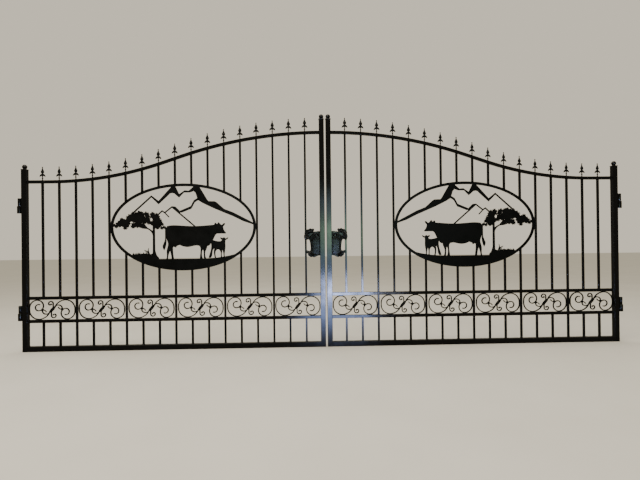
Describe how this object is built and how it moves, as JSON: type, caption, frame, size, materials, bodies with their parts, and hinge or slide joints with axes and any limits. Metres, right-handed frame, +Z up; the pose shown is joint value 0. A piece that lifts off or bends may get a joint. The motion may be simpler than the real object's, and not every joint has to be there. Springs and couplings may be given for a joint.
{
  "type": "double swing driveway gate",
  "caption": "Arched pair of black steel driveway gates with spear finials, scroll band and oval farm scenes cut from plate.",
  "frame": {"origin": "middle of the flat by which the lower half of the left lower hinge is welded to its post", "axes": "+X along the closed gate from the left post to the right post, +Y away from the viewer through the thickness, +Z up"},
  "size_m": [6.092, 0.056, 2.3416],
  "materials": {
    "frame_tube": "gloss black powder coat on square steel tube",
    "picket_tube": "gloss black powder coat on square steel tube",
    "scroll_bar": "gloss black powder coat on bent square bar",
    "casting": "gloss black powder coat on cast iron",
    "pressed_cap": "gloss black powder coat on pressed steel",
    "cut_plate": "satin black powder coat on cut steel plate",
    "hinge_steel": "black powder coat on welded steel",
    "pin_steel": "greased bare steel pin"
  },
  "bodies": {
    "root": {"left_lower_post_bracket": "hinge_steel", "left_upper_post_bracket": "hinge_steel", "left_hinge_pins": "pin_steel", "left_hinge_washers": "pin_steel", "right_lower_post_bracket": "hinge_steel", "right_upper_post_bracket": "hinge_steel", "right_hinge_pins": "pin_steel", "right_hinge_washers": "pin_steel"},
    "left_leaf": {"left_hinge_stile": "frame_tube", "left_meeting_stile": "frame_tube", "left_bottom_rail": "frame_tube", "left_band_lower_rail": "frame_tube", "left_band_upper_rail": "frame_tube", "left_top_rail": "frame_tube", "left_outer_pickets": "picket_tube", "left_inner_pickets": "picket_tube", "left_upper_oval_pickets": "picket_tube", "left_lower_oval_pickets": "picket_tube", "left_band_dividers": "picket_tube", "left_kick_pickets": "picket_tube", "left_scroll_panels": "scroll_bar", "left_spear_finials": "casting", "left_stile_caps": "pressed_cap", "left_farm_scene_plate": "cut_plate", "left_lock_plate": "casting", "left_hinge_knuckles": "hinge_steel"},
    "right_leaf": {"right_hinge_stile": "frame_tube", "right_meeting_stile": "frame_tube", "right_bottom_rail": "frame_tube", "right_band_lower_rail": "frame_tube", "right_band_upper_rail": "frame_tube", "right_top_rail": "frame_tube", "right_outer_pickets": "picket_tube", "right_inner_pickets": "picket_tube", "right_upper_oval_pickets": "picket_tube", "right_lower_oval_pickets": "picket_tube", "right_band_dividers": "picket_tube", "right_kick_pickets": "picket_tube", "right_scroll_panels": "scroll_bar", "right_spear_finials": "casting", "right_stile_caps": "pressed_cap", "right_farm_scene_plate": "cut_plate", "right_lock_plate": "casting", "right_hinge_knuckles": "hinge_steel"}
  },
  "joints": [
    {"name": "left_leaf_swing", "type": "hinge", "parent": "root", "child": "left_leaf", "pos_m": [0.023, 0, 0.531], "axis": [0, 0, -1], "range_deg": [0, 90]},
    {"name": "right_leaf_swing", "type": "hinge", "parent": "root", "child": "right_leaf", "pos_m": [6.069, 0, 0.531], "axis": [0, 0, 1], "range_deg": [0, 90]}
  ]
}
